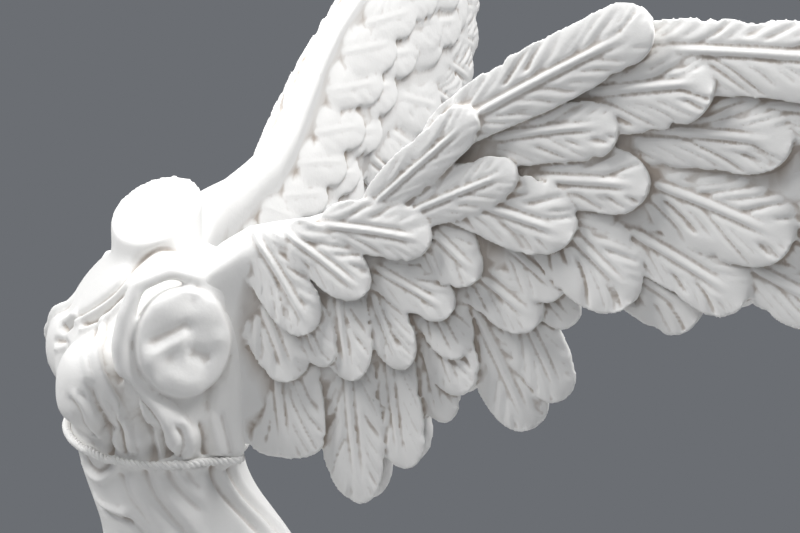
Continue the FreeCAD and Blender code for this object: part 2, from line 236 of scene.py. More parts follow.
# Feathers of the outer face: root h, root v, tip h, tip v, width. Each row lies over the next,
# and earlier feathers in a row over later ones.
ROW_A = [
    (8, 3.5, 18.5, -10.5, 10.4), (15, 5.5, 29, -2.5, 9.8), (22, 8.2, 40.5, 7.5, 9.8),
    (30, 13, 48.5, 29, 8), (36, 11, 56, 20, 8.6), (44, 26.5, 80, 46.8, 11.4),
    (43, 15, 67, 10.3, 12.8),
]
ROW_B = [
    (7, -4, 15, -19.5, 11), (14, -4, 20.5, -17, 8), (22, -2, 25, -19.2, 10),
    (28, -2, 35, -16.5, 9), (27, 2, 44.5, -4.8, 9), (37, 9, 49, 0.6, 10.8),
    (48, 23, 74, 28.6, 10), (66, 32, 91.5, 36, 13.6), (56, 18, 80, 19.5, 11.2),
    (59, 13, 77.5, -1.2, 15), (75, 39.5, 118, 41.5, 13),
]
ROW_C = [
    (38, -3, 46, -13.2, 9.4), (44, 3, 60, -6, 11.4), (50, 8, 64, -1.2, 9),
    (40, -8, 45.5, -20.3, 10.4), (10, -11, 12.4, -34.2, 15.6), (22.5, -12, 25, -41.3, 12),
    (31, -12, 34.4, -34.3, 9.6), (69, 27.5, 105.5, 29, 13), (74, 19.5, 106, 12.2, 15),
    (71, 12.5, 98, 1.6, 12.6), (94, 32, 124, 33, 12),
]
# The last row's feathers show on both faces.
ROW_D = [
    (47, -6, 58, -25.2, 12.4), (54, -4, 63.6, -19.6, 9.4), (57, 1, 65.4, -6.4, 8.4),
    (67, 7, 88, -3.6, 12), (84, 11, 113, 1.4, 12.6), (92, 18, 125, 8, 13.4),
    (96, 24, 133, 15, 13.6), (98, 30, 138, 22, 13.2), (98, 34, 139, 29, 12.6),
    (98, 38, 134, 36, 11),
    (20, -14, 19.8, -31, 9), (37, -10, 41, -26, 9),
]
# The inner face: its feathers start well below the leading edge and lie almost level.
INNER_TOP = [
    (13, 1, 26, -7, 8), (19, 3, 35, -2, 8.4), (26, 4, 45, 2, 8.6), (33, 9, 54, 8, 9),
    (39, 15, 61, 14.5, 9.4), (44, 22, 69, 22, 9.6), (50, 28, 77, 28.5, 10), (59, 33, 87, 34, 10.4),
    (72, 37, 100, 38, 10.4), (88, 38, 116, 37.5, 10), (8, -3, 18, -14, 8),
]
INNER_NEXT = [
    (12, -8, 23, -19, 9.4), (20, -6, 33, -15, 9.6), (28, -4, 43, -9, 9.6), (35, 1, 52, -2.5, 10),
    (41, 7, 60, 5, 10.4), (47, 13, 69, 12.5, 10.8), (54, 20, 78, 20, 11), (63, 26, 89, 26.5, 11.4),
    (76, 30, 103, 31, 11.6), (90, 30, 118, 30, 11.6), (4, -9, 12, -21, 9),
]

# How each face is laid: rows from the lowest up, each with its height over the wing's middle
# surface and the further rise of its tips.
OUTER_ROWS = ((ROW_C, 0.9, 2.2), (ROW_B, 2.1, 2.6), (ROW_A, 3.7, 1.9))
INNER_ROWS = ((ROW_C, 1.1, 0.8), (INNER_NEXT, 1.9, 0.8), (INNER_TOP, 2.6, 0.8))
UNDERLAP = 0.18  # share of a feather's length that lies hidden under the row above
SQUARE_FROM = 15.2  # feathers wider than this end nearly square
RIGHT_TOP_ROW_DROP = 4.5
OUTER_RELIEF, INNER_RELIEF = 1.1, 0.5


def wing_point(h, v, out, side):
    """Neck coordinates of (h, v) at out millimetres from the wing's middle surface."""
    angle = ROOT_ANGLE + TURN * np.clip(h, 0, None)
    before = np.minimum(h, 0)
    x = WING_ROOT[0] + (math.cos(ROOT_ANGLE) - np.cos(angle)) / TURN
    y = WING_ROOT[1] + (np.sin(angle) - math.sin(ROOT_ANGLE)) / TURN
    x = x + before * math.sin(ROOT_ANGLE) + np.cos(angle) * out
    y = y + before * math.cos(ROOT_ANGLE) - np.sin(angle) * out
    return np.stack([x * side, y, SHOULDER_Z + v], -1)


def fade_out(h):
    """Wing thickness at h as a share of that at the root."""
    return 1 - 0.55 * np.clip(h, 0, WING_SPAN) / WING_SPAN


def wing_middle(side):
    """The solid that the feathers stand on, with a rounded arm along its leading edge."""
    h = np.arange(-6, 127, 1.0)[:, None]
    top = np.interp(h, *LEADING_EDGE)
    low = np.interp(h, *MIDDLE_BELOW)
    share = np.linspace(0, 1, 70)[None, :] ** 1.5
    down = share * (top - low)
    v = top - down
    arm = 5.0 - 1.8 * ramp(h, 4, 24) - 2.4 * ramp(h, 26, 60)
    plate = 2.2 * fade_out(h)
    half = plate + arm * 0.5 * np.exp(-((down / (arm * 2.4)) ** 2))
    edge = np.clip(down / (arm * 1.7), 0, 1)
    half = half * np.sqrt(np.clip(1 - (1 - edge) ** 2, 0.0004, 1))
    rooted = 1 - ramp(h, -1, 11)
    thinned = 1 - 0.75 * (1 - rooted) * ramp(share, 0.8, 1.0)
    half = half * thinned + 2.0 * rooted * ramp(down, 0, 5)
    return closed_slab(wing_point(h, v, half, side), wing_point(h, v, -half, side))


def barbs(rng, along, across, reach, length, size):
    """The grooves between barbs: they leave the shaft at a slant and curve towards the edge."""
    depth = np.zeros_like(across)
    for hand in (-1, 1):
        on_side = across * hand > 0
        slant = rng.uniform(2.4, 3.4)
        line = along - slant * reach + 0.12 * reach**2
        place = rng.uniform(-12, -9)
        while place < length:
            deep = rng.uniform(0.2, 0.62) * size
            wide = rng.uniform(0.55, 1.15) * size
            start = rng.uniform(0.5, 2.0) * size
            stop = rng.uniform(2.6, 9.0) * size
            wave = 0.4 * np.sin(reach * rng.uniform(0.8, 1.6) + rng.uniform(0, 6))
            shape = np.exp(-(((line - place + wave) / wide) ** 2))
            shape = shape * ramp(reach, start, start + 0.7) * (1 - ramp(reach, stop, stop + 1))
            depth -= deep * shape * on_side
            place += rng.uniform(1.9, 4.4) * size
    return depth


def feather(rng, spec, side, face, base, lift, through, relief_share=1.0, sunk=0.42):
    """One closed feather, whose top stands base millimetres over the wing's middle surface and
    lift higher at its tip. face is 1 outside and -1 inside; through feathers show on both. sunk
    is the share of its length over which it rises out of the wing."""
    h0, v0, h1, v1, width = spec
    square = width > SQUARE_FROM
    h0, v0 = h0 + (h0 - h1) * UNDERLAP, v0 + (v0 - v1) * UNDERLAP
    length = math.hypot(h1 - h0, v1 - v0)
    ah, av = (h1 - h0) / length, (v1 - v0) / length
    ch, cv = -av, ah
    if 0.5 * ch - cv < 0:
        ch, cv = -ch, -cv
    rows = max(int(length / FEATHER_STEP), 12)
    columns = max(int(width / FEATHER_STEP), 10) | 1
    t = np.linspace(0, 1, rows)[:, None]
    s = np.linspace(-1, 1, columns)[None, :]
    blunt = min(0.52 * width / length, 0.6) if square else min(0.76 * width / length, 0.66)
    end = np.clip((t - 1 + blunt) / blunt, 0, 1)
    half = width / 2 * (0.62 + 0.4 * np.sin(math.pi / 2 * np.clip(t / 0.55, 0, 1)))
    tip_power = rng.uniform(2.0, 2.6) + (3.2 if square else 0)
    half = half * np.sqrt(np.clip(1 - end**tip_power, 0.0009, 1))
    half = half * np.sqrt(np.clip(1 - (1 - np.clip(t / 0.16, 0, 1)) ** 2, 0.01, 1))
    edges = []
    for _ in range(2):
        wobble = 0.03 * np.sin(t * rng.uniform(7, 12) + rng.uniform(0, 6))
        for _ in range(rng.integers(2, 5)):
            notch = (t - rng.uniform(0.35, 0.97)) / rng.uniform(0.014, 0.035)
            wobble = wobble - rng.uniform(0.03, 0.1) * np.exp(-(notch**2))
        edges.append(half * (1 + wobble))
    reach_out = np.where(s > 0, edges[0], edges[1])
    bend = rng.uniform(0.01, 0.07)

    def outline(shrink):
        """The feather's (h, v), and the distances along and across it, at a share of its size."""
        across = s * reach_out * shrink
        along = t * length * (1 - (1 - shrink) * 0.12)
        swept = across + bend * length * t**2 - bend * length * 0.5 * t
        return h0 + ah * along + ch * swept, v0 + av * along + cv * swept, along, across

    h, v, along, across = outline(1.0)
    full = fade_out(h)
    crown = 0.075 * width * (1 - np.abs(s) ** 3.5) * (0.5 + 0.5 * t) * (1 - 0.9 * end**3)
    roll = 0.07 * width * s * (0.4 + 0.6 * t)
    risen = ramp(t, sunk - 0.47, sunk)
    middle = base * full + lift * (t**1.3) + roll

    def relief():
        """The shaft, with a groove at each side of it, and the barbs."""
        shaft_at = rng.uniform(-0.08, 0.06) * width
        near = across - shaft_at
        reach = np.abs(near)
        size = np.clip(width / 10, 0.75, 1.15)
        fading = 1 - ramp(t, 0.72, 0.95)
        shaft = 0.3 * np.exp(-((near / (0.4 * size)) ** 2))
        shaft = shaft - 0.42 * np.exp(-(((reach - 0.9 * size) / (0.36 * size)) ** 2))
        kept = 1 - np.abs(s) ** 8
        groove = shaft * fading + barbs(rng, along, near, reach, length, size)
        return groove * kept * relief_share

    top = middle + crown + relief()
    if through:
        below = middle - crown - 0.7 - relief()
        return closed_slab(
            wing_point(h, v, top * face, side), wing_point(h, v, below * face, side)
        )
    hu, vu, _, _ = outline(0.84)
    under = base * full - 1.2 + lift * 0.78 * t**1.3
    top, under = top * risen, under * risen - 0.3 * (1 - risen)
    return closed_slab(wing_point(h, v, top * face, side), wing_point(hu, vu, under * face, side))


def wing(side, seed):
    """All of one wing's feathers and its middle, as one skin."""
    rng = np.random.default_rng(seed)
    parts = [wing_middle(side)]
    for spec in ROW_D:
        parts.append(feather(rng, spec, side, 1, 0.25, 0.5, True))
    for face, rows in ((1, OUTER_ROWS), (-1, INNER_ROWS)):
        for row, base, lift in rows:
            for number, spec in enumerate(row):
                moved = list(spec)
                if face < 0 or side < 0:
                    moved[:4] = np.array(spec[:4]) + rng.normal(0, 0.5, 4)
                if row is ROW_A and side < 0:
                    moved[1] -= RIGHT_TOP_ROW_DROP
                    moved[3] -= RIGHT_TOP_ROW_DROP
                lifted = lift - 0.04 * number
                depth = OUTER_RELIEF if face > 0 else INNER_RELIEF
                sunk = 0.2 if row is ROW_A else 0.42
                parts.append(feather(rng, moved, side, face, base, lifted, False, depth, sunk))
    points, quads = join(parts)
    points[:, 1] += FIGURE_Y
    return points, quads


def outwards(points, side):
    """How far points lie outside the wing's middle surface, which is an arc in plan."""
    radius = 1 / TURN
    x = points[:, 0] * side - WING_ROOT[0] - math.cos(ROOT_ANGLE) * radius
    y = points[:, 1] - WING_ROOT[1] + math.sin(ROOT_ANGLE) * radius
    return radius - np.hypot(x, y)


def finish_wing(name, side, seed):
    """A wing of one skin, whose inner face is worn much smoother than its outer face."""
    made = remeshed(object_from(name, *wing(side, seed)), WING_VOXEL)
    skin = Skin(made)
    skin.smooth(2, 0.45)
    worn = ramp(-outwards(skin.co, side), 0.4, 1.6)
    skin.smooth(9, 0.5, worn)
    skin.store()
    decimated(made, WING_TRIANGLES)
    Skin(made).save_hollows()
    return made


# ---------------------------------------------------------------- the draped figure

# The torso's axis as height against y, from which angles round the figure are measured: 0 is the
# front, 90 the figure's left.
AXIS = (
    (22, 60, 115, 158, 170, 181, 190, 198, 208, 232),
    (18, 14, 11, 11, 9, 6.2, 1.8, -0.2, -2.2, 0),
)
BODY_VOXEL = 0.42


class Carver:
    """Adds ridges and grooves along lines drawn on the figure's skin."""

    def __init__(self, skin):
        self.skin = skin
        self.refresh()

    def refresh(self):
        """Takes the skin as it is now as the ground that lines are drawn on."""
        self.normals = self.skin.normals()
        mesh = self.skin.made.data
        corners = np.empty(len(mesh.polygons) * 4, np.int32)
        mesh.polygons.foreach_get("vertices", corners)
        quads = corners.reshape(-1, 4)
        self.tree = BVHTree.FromPolygons(self.skin.co.tolist(), quads.tolist())

    def place(self, angle, z):
        """The skin's point and normal at an angle and height."""
        a = math.radians(angle)
        axis = Vector((0, float(np.interp(z, *AXIS)), z))
        out = Vector((math.sin(a), -math.cos(a), 0))
        point, normal, _, _ = self.tree.ray_cast(axis + out * 90, -out)
        return (point, normal) if point else (axis + out * 18, out)

    def line(self, knots):
        """Points about every 0.4 mm along a smooth curve through knots of (angle, height)."""
        k = np.array(knots, float)
        k = np.vstack([2 * k[0] - k[1], k, 2 * k[-1] - k[-2]])
        dense = []
        for i in range(1, len(k) - 2):
            p0, p1, p2, p3 = k[i - 1 : i + 3]
            count = max(int(math.hypot((p2 - p1)[0] * 0.32, (p2 - p1)[1]) / 0.4), 2)
            for u in np.arange(count) / count:
                curve = 2 * p1 + (p2 - p0) * u + (2 * p0 - 5 * p1 + 4 * p2 - p3) * u**2
                dense.append(0.5 * (curve + (3 * p1 - p0 - 3 * p2 + p3) * u**3))
        dense.append(k[-2])
        placed = [self.place(*d) for d in dense]
        points = np.array([p[0] for p in placed])
        normals = np.array([p[1] for p in placed])
        for _ in range(3):
            points[1:-1] = (points[:-2] + 2 * points[1:-1] + points[2:]) / 4
        return points, normals

    def side_place(self, hand, y, z):
        """The skin's point and normal seen straight from the figure's side."""
        out = Vector((hand, 0, 0))
        point, normal, _, _ = self.tree.ray_cast(Vector((hand * 90, y, z)), -out)
        return (point, normal) if point else (Vector((hand * 15, y, z)), out)

    def side_stroke(self, hand, knots, *profile, fade=(0.15, 0.15)):
        """A stroke through (y, z) knots as seen from the figure's side."""
        k = np.array(knots, float)
        steps = np.concatenate([[0], np.cumsum(np.linalg.norm(np.diff(k, axis=0), axis=1))])
        at = np.arange(0, steps[-1], 0.4)
        places = [
            self.side_place(hand, y, z)
            for y, z in zip(np.interp(at, steps, k[:, 0]), np.interp(at, steps, k[:, 1]))
        ]
        points = np.array([p[0] for p in places])
        normals = np.array([p[1] for p in places])
        self.press(points, normals, [(o * hand, w, h) for o, w, h in profile], fade)

    def dab(self, hand, place, size, height):
        """A round bump or dent."""
        point, normal = self.side_place(hand, *place)
        gap = ((self.skin.co - np.array(point)) ** 2).sum(1)
        index = np.nonzero(gap < (2.5 * size) ** 2)[0]
        push = height * np.exp(-gap[index] / size**2)
        self.skin.co[index] += self.normals[index] * push[:, None]

    def stroke(self, knots, *profile, fade=(0.15, 0.15)):
        """Moves the skin along a line. profile holds (offset, width, height) bumps across it;
        positive offsets lie to the right of someone walking the line on the skin."""
        points, normals = self.line(knots)
        self.press(points, normals, profile, fade)

    def press(self, points, normals, profile, fade):
        """Moves the skin near a line of points by the profile's bumps, which fade in and out
        over the given shares of the line's length."""
        reach = max(abs(o) + 2.5 * w for o, w, _ in profile)
        co = self.skin.co
        near = np.all((co > points.min(0) - reach) & (co < points.max(0) + reach), axis=1)
        index = np.nonzero(near)[0]
        if not len(index):
            return
        p = co[index]
        gap = ((p[:, None, :] - points[None]) ** 2).sum(2)
        best = gap.argmin(1)
        keep = gap[np.arange(len(p)), best] < reach**2
        index, p, best = index[keep], p[keep], best[keep]
        tangent = np.gradient(points, axis=0)
        tangent /= np.linalg.norm(tangent, axis=1)[:, None] + 1e-9
        right = np.cross(tangent, normals)
        right /= np.linalg.norm(right, axis=1)[:, None] + 1e-9
        offset = p - points[best]
        lateral = (offset * right[best]).sum(1)
        beyond = np.abs((offset * tangent[best]).sum(1))
        at = best / max(len(points) - 1, 1)
        strength = ramp(at, 0, fade[0] + 1e-6) * (1 - ramp(at, 1 - fade[1] - 1e-6, 1))
        facing = (self.normals[index] * normals[best]).sum(1)
        strength = strength * ramp(facing, 0.0, 0.4) * np.exp(-(beyond**2))
        height = sum(h * np.exp(-(((lateral - o) / w) ** 2)) for o, w, h in profile)
        co[index] += self.normals[index] * (height * strength)[:, None]


# Masses that join the shoulders to the wings, and the thick edge of cloth round each arm, as
# x, y, z and radius of the first and last of a run of balls.
SHOULDER_MASSES = (
    ((7, 2.5, 226, 7.5), (14, 6.5, 227, 6.4), 8),
    ((14, 6.5, 227, 6.4), (16.5, 10, 230.5, 4.6), 5),
    ((16.2, 7, 226, 3.4), (16.4, 7.4, 198.5, 3.0), 30),
    ((0, 9, 224, 8.2), (9, 8.5, 225, 7.2), 8),
    ((9, 8, 224, 7.2), (9, 5, 206, 6.4), 14),
)
ARMHOLE_EDGE = (
    (18.6, 9.2, 197.5, 1.6), (19.0, 9.2, 209.0, 1.6), (18.8, 9.0, 218.0, 1.5),
    (18.4, 7.4, 225.0, 1.4), (17.8, 3.5, 229.4, 1.3), (17.8, -2.5, 231.2, 1.4),
    (17.8, -8.3, 229.2, 1.5), (17.8, -10.4, 224.0, 1.7), (17.6, -11.5, 218.6, 1.8),
    (17.7, -10.5, 213.4, 2.0), (18.0, -7.8, 209.2, 2.3), (18.3, -4.0, 206.0, 2.5),
    (18.2, -1.2, 202.0, 2.2), (17.8, -0.6, 198.6, 1.7),
)
# The right shoulder is lower and narrower: a shift of the whole edge, then of single points of
# it by number, and a run of balls that fills the skin behind its front.
RIGHT_EDGE_SHIFT = (-1.6, -2.3, -2.5, -0.2)
RIGHT_EDGE_POINTS = {6: (-0.8, 3.9, -1.1, -0.1), 7: (0, 2.3, -0.5, 0)}
RIGHT_SHOULDER_FILL = ((13, -6, 225, 3.2), (13, -9, 221, 3.2), 5)


def add_balls(mesh, first, last, count, hand):
    """A run of balls between two (x, y, z, radius) ends, on one side of the figure."""
    for share in np.linspace(0, 1, count):
        x, y, z, radius = (p + (q - p) * share for p, q in zip(first, last))
        place = Matrix.Translation(Vector((x * hand, y + FIGURE_Y, z)) * 0.001)
        bmesh.ops.create_icosphere(mesh, subdivisions=3, radius=radius * 0.001, matrix=place)


def figure():
    """The figure's casting: the CAD solid's skin with its cloth carved in."""
    source = frame["nodes"]["figure_casting"]
    made = bpy.data.objects.new("draped_figure", source.data.copy())
    bpy.context.scene.collection.objects.link(made)
    added = bmesh.new()
    added.from_mesh(made.data)
    for hand in (-1, 1):
        for a, b, count in SHOULDER_MASSES:
            add_balls(added, a, b, count, hand)
        edge = np.array(ARMHOLE_EDGE)
        if hand < 0:
            edge += RIGHT_EDGE_SHIFT
            for number, shift in RIGHT_EDGE_POINTS.items():
                edge[number] += shift
            add_balls(added, *RIGHT_SHOULDER_FILL, hand)
        for a, b in zip(edge, edge[1:]):
            add_balls(added, a, b, 10, hand)
    added.to_mesh(made.data)
    added.free()
    remeshed(made, BODY_VOXEL)
    skin = Skin(made)
    rounds = int(14 * (0.42 / BODY_VOXEL) ** 2)
    x, y, z = skin.co.T
    neck = ramp(z, SHOULDER_Z + 0.5, SHOULDER_Z + 3) * (np.hypot(x, y) < 12)
    skin.smooth(rounds, 0.6, 1 - 0.8 * neck)
    x, y, z = skin.co.T
    neck_base = np.exp(-(((np.hypot(x, y) - 9) / 4) ** 2) - ((z - 230) / 4) ** 2)
    skin.smooth(rounds * 3, 0.6, neck_base)
    carve = Carver(skin)
    for hand in (1, -1):
        carve_stump(carve, hand)
    carve_chest(carve)
    carve_back(carve)
    carve_waist(carve)
    carve_skirt(carve)
    skin.smooth(1, 0.4)
    carve.refresh()
    cord = belt_cord(carve)
    decimated(made, BODY_TRIANGLES)
    Skin(made).save_hollows(0.35)
    return made, cord


# The broken upper arms: y and z of the face's centre, then its half depth and half height.
STUMP = (-0.9, 219.0, 8.4, 9.6)


def stump_point(across, up, scale=1.0):
    """Side coordinates (y, z) on the broken arm, from shares of its half sizes."""
    y, z, half_depth, half_height = STUMP
    return y + across * half_depth * scale, z + up * half_height * scale


def carve_stump(carve, hand):
    """The rough broken face of an upper arm, with the cloth's raised edge round it."""
    for knots, *profile in (
        (
            ((-0.95, -0.05), (-0.5, 0.12), (0, 0.32), (0.35, 0.18)),
            (0, 1.1, -0.7), (1.9, 1.3, 0.6),
        ),
        (((0.0, -0.12), (0.35, -0.25), (0.62, -0.42)), (0, 1.5, -0.8)),
        (((-0.5, -0.5), (0, -0.72), (0.5, -0.68)), (0, 1.6, 0.5)),
    ):
        carve.side_stroke(hand, [stump_point(*k) for k in knots], *profile, fade=(0.3, 0.3))
    for p, size, height in (
        ((-0.3, 0.6), 3.0, 0.5), ((0.45, 0.5), 2.0, 0.3), ((-0.7, -0.3), 1.8, 0.5),
        ((0.2, 0.8), 1.6, -0.4), ((0.75, 0.05), 1.5, 0.5), ((-0.3, -0.25), 1.8, -0.35),
    ):
        carve.dab(hand, stump_point(*p), size, height)


# Folds of the bodice as (angle, height) lines, each with the bumps across it.
BODICE_FOLDS = (
    ([(38, 224), (36, 220.5), (43, 217.5), (50, 213.5), (56, 209.3), (61, 206), (63, 202.5),
      (60, 198)],
     (0, 0.9, 1.5), (1.5, 0.6, -0.9), (-0.9, 0.35, -0.4)),
    ([(55, 215), (64, 210), (71, 206), (74, 202), (72, 197.5)], (0, 1.3, -2.0)),
    ([(60, 214), (69, 210), (76, 206.5), (80, 203), (81, 198)], (0, 0.9, -1.5)),
    ([(66, 210), (73, 206.5), (77, 203), (77, 198)], (0, 0.5, 0.9)),
    ([(27, 220), (38, 217.6), (44, 214.6), (49, 211.3), (53, 207.8), (55, 203.5), (52, 198)],
     (0, 0.9, 1.2)),
    ([(43, 213), (48, 209.7), (50, 206), (46, 201.5), (42, 198)], (0, 1.0, -1.6)),
    ([(33, 210), (40, 206.4), (34, 201.6)], (0, 0.7, -0.7), (-1.3, 0.8, 0.5)),
    ([(40, 210.5), (46, 208), (49, 205.5)], (0, 0.5, -0.6)),
    ([(88, 206), (92, 203), (91, 198)], (0, 0.8, 0.5), (1.5, 0.6, -1.0)),
    ([(101, 205), (103, 202), (102, 198)], (0, 0.6, -0.8), (1.5, 1.0, 0.5)),
    ([(112, 207), (112, 198)], (0, 0.7, -0.5), (1.6, 0.9, 0.4)),
)
# Folds under the belt, as (angle, height) lines with their depths.
WAIST_FOLDS = (
    ([(47, 195), (47, 191), (51, 187), (57, 181), (68, 170)], 0.5),
    ([(64, 196), (65, 192), (69, 188), (75, 183), (86, 172)], 0.8),
    ([(78, 196), (80, 193), (87, 189.5), (94, 186)], 0.6),
    ([(88, 196), (91, 193.5), (97, 190.5)], 0.5),
    ([(106, 196.5), (107, 193), (113, 189), (121, 184), (132, 176)], 1.0),
    ([(118, 196), (123, 192), (129, 188), (142, 182.5), (154, 172)], 0.7),
    ([(30, 186), (43, 184), (56, 178), (70, 166)], 0.5),
)


def mirrored(knots, turn=0.0, rise=0.0):
    """A line's knots on the figure's other side, further round and higher."""
    return [(-a - turn, z + rise) for a, z in knots]


def carve_chest(carve):
    """The folds of the bodice: on the figure's left first, then the same ideas on its right, the
    cloth that hangs over the belt, and the folds across the neckline."""
    belt = [(a, belt_height(a)) for a in range(-180, 181, 12)]
    carve.stroke(belt, (0, 1.0, -0.8), fade=(0, 0))
    carve.stroke([(a, z + 4.2) for a, z in belt[8:26]], (0, 2.2, 1.1), fade=(0.2, 0.2))
    carve.stroke([(a, z + 7.5) for a, z in belt[12:26]], (0, 3.2, 0.8), fade=(0.2, 0.2))
    for knots, *profile in BODICE_FOLDS:
        carve.stroke(knots, *profile, fade=(0.25, 0.03))
        flipped = [(-o, w, h) for o, w, h in profile]
        carve.stroke(mirrored(knots, 0, 1.0), *flipped, fade=(0.25, 0.03))
    carve.stroke(
        [(119, 233), (79, 233.4), (51, 231), (40, 227.6), (28, 225), (14, 223), (0, 221.3),
         (-9, 220.4)],
        (0, 0.7, -0.9), (-1.3, 0.8, 0.6), fade=(0.2, 0.05),
    )
    carve.stroke(
        [(54, 227.8), (43, 225.2), (33, 222.7), (21, 220.8), (6, 219.9)],
        (0, 0.8, -1.2), (-1.2, 0.7, 0.7), fade=(0.3, 0.1),
    )
    carve.stroke(
        [(-2, 220.4), (-9, 219), (-16, 217.8), (-24, 219)], (0, 0.9, -1.2), (1.5, 0.8, 0.8)
    )
    carve.stroke([(-8, 217), (-15, 215.8), (-22, 215.4)], (0, 0.7, -0.8), (-1.3, 0.7, 0.5))
    carve.stroke([(-6, 217), (-5, 212), (-3, 205)], (0, 2.2, -1.0), fade=(0.1, 0.4))


def carve_back(carve):
    """Folds of the cloth between the wings."""
    for knots in (
        [(180, 226), (176, 214), (180, 200)], [(164, 224), (160, 213), (166, 200)],
        [(-164, 224), (-168, 213), (-160, 200)], [(172, 212), (170, 205), (173, 199)],
        [(-176, 214), (-172, 206), (-175, 199)], [(150, 216), (148, 207), (154, 199)],
        [(-150, 216), (-154, 207), (-146, 199)],
    ):
        carve.stroke(knots, (0, 0.8, 0.7), (1.7, 0.9, -0.9), fade=(0.3, 0.05))


def carve_waist(carve):
    """The cloth that is pulled together under the belt."""
    carve.stroke(
        [(2, 196), (8, 193.2), (22, 192.3), (35, 193.6), (48, 196.4)],
        (0, 0.8, 0.8), (-1.5, 0.9, -0.7), fade=(0.1, 0.1),
    )
    carve.stroke(
        [(4, 189.5), (12, 187.4), (33, 186.8), (46, 186.9)], (0, 0.8, 0.7), (1.5, 0.9, -0.5)
    )
    for knots, deep in WAIST_FOLDS:
        carve.stroke(knots, (0, 1.0, -deep), (-1.9, 1.2, deep * 0.7), fade=(0.05, 0.35))
        carve.stroke(
            mirrored(knots, 4, 2), (0, 1.0, -deep), (1.9, 1.2, deep * 0.7), fade=(0.05, 0.35)
        )


def carve_skirt(carve):
    """Long folds that the wind lays back, from the hips to the hem."""
    rng = np.random.default_rng(5)
    for hand in (-1, 1):
        start = 12.0
        while start < 172:
            top = rng.uniform(168, 188)
            drift = rng.uniform(16, 34) * (1 - start / 200)
            knots = []
            for share in np.linspace(0, 1, 7):
                angle = start + drift * math.sin(share * math.pi / 2) + rng.uniform(-2, 2)
                knots.append((hand * angle, top + (30 - top) * share))
            deep = rng.uniform(0.9, 1.7)
            wide = rng.uniform(0.9, 1.5)
            lean = rng.uniform(1.5, 2.2) * wide * hand
            carve.stroke(knots, (0, wide, deep), (lean, wide * 0.6, -deep), fade=(0.3, 0.02))
            start += rng.uniform(9, 17)


CORD_STANDOFF = 0.8  # the cord's axis over the skin
STRANDS = 3
STRAND_RADIUS = 0.46
STRAND_FROM_AXIS = 0.34
CORD_LAY = 2.9  # length of cord in which a strand goes round once
STRAND_SIDES = 9


def belt_height(angle):
    """The belt's height on the skin; it drops a little towards the figure's left."""
    return 199.2 - 2.4 * math.sin(math.radians(angle + 5))


def belt_cord(carve):
    """Three strands twisted into the cord that the casting shows under the breasts."""
    angles = np.arange(0, 360, 0.8)
    hits = [carve.place(a, belt_height(a)) for a in angles]
    path = np.array([h[0] for h in hits])
    out = np.array([h[1] for h in hits])
    for _ in range(12):
        path = (np.roll(path, 1, 0) + 2 * path + np.roll(path, -1, 0)) / 4
        out = (np.roll(out, 1, 0) + 2 * out + np.roll(out, -1, 0)) / 4
    out /= np.linalg.norm(out, axis=1)[:, None]
    path = path + out * CORD_STANDOFF
    ahead = np.roll(path, -1, 0) - np.roll(path, 1, 0)
    ahead /= np.linalg.norm(ahead, axis=1)[:, None]
    up = np.cross(ahead, out)
    around = np.linalg.norm(np.roll(path, -1, 0) - path, axis=1)
    along = np.concatenate([[0], np.cumsum(around)[:-1]])
    turns = round(around.sum() / CORD_LAY)
    parts = []
    for strand in range(STRANDS):
        twist = 2 * math.pi * (along / around.sum() * turns + strand / STRANDS)
        away = out * np.cos(twist)[:, None] + up * np.sin(twist)[:, None]
        centre = path + away * STRAND_FROM_AXIS
        rings = []
        for side in range(STRAND_SIDES):
            a = 2 * math.pi * side / STRAND_SIDES
            rings.append(centre + (out * math.cos(a) + up * math.sin(a)) * STRAND_RADIUS)
        tube = np.stack(rings, 1)
        i = np.arange(len(path))[:, None] * STRAND_SIDES + np.arange(STRAND_SIDES)[None]
        right = np.roll(i, -1, 1)
        quads = np.stack([i, right, np.roll(right, -1, 0), np.roll(i, -1, 0)], -1).reshape(-1, 4)
        parts.append((tube.reshape(-1, 3), quads))
    points, quads = join(parts)
    points[:, 1] += FIGURE_Y
    return object_from("belt_cord", points, quads)


# ---------------------------------------------------------------- materials


def new_material(name):
    """A material with nodes, whose shader is the usual one."""
    material = bpy.data.materials.new(name)
    material.use_nodes = True
    return material, material.node_tree.nodes, material.node_tree.links


def noise(nodes, links, scale, detail, where):
    """A noise value in 0 to 1 across the object, scale lumps to the metre."""
    node = nodes.new("ShaderNodeTexNoise")
    node.inputs["Scale"].default_value = scale
    node.inputs["Detail"].default_value = detail
    links.new(where, node.inputs["Vector"])
    return node.outputs["Fac"]


def remap(nodes, links, value, low, high, to_low=0.0, to_high=1.0):
    """The value moved from one range to another and kept inside it."""
    node = nodes.new("ShaderNodeMapRange")
    for slot, number in zip((1, 2, 3, 4), (low, high, to_low, to_high)):
        node.inputs[slot].default_value = number
    links.new(value, node.inputs[0])
    return node.outputs[0]


def combine(nodes, links, how, a, b):
    """Two values or numbers brought together, kept in 0 to 1."""
    node = nodes.new("ShaderNodeMath")
    node.operation = how
    for slot, value in enumerate((a, b)):
        if isinstance(value, (int, float)):
            node.inputs[slot].default_value = value
        else:
            links.new(value, node.inputs[slot])
    node.use_clamp = True
    return node.outputs[0]


def mix_colours(nodes, links, share, a, b):
    """Colour a where share is 0 and colour b where it is 1."""
    node = nodes.new("ShaderNodeMix")
    node.data_type = "RGBA"
    links.new(share, node.inputs[0])
    for slot, value in ((6, a), (7, b)):
        if isinstance(value, tuple):
            node.inputs[slot].default_value = (*value, 1)
        else:
            links.new(value, node.inputs[slot])
    return node.outputs[2]


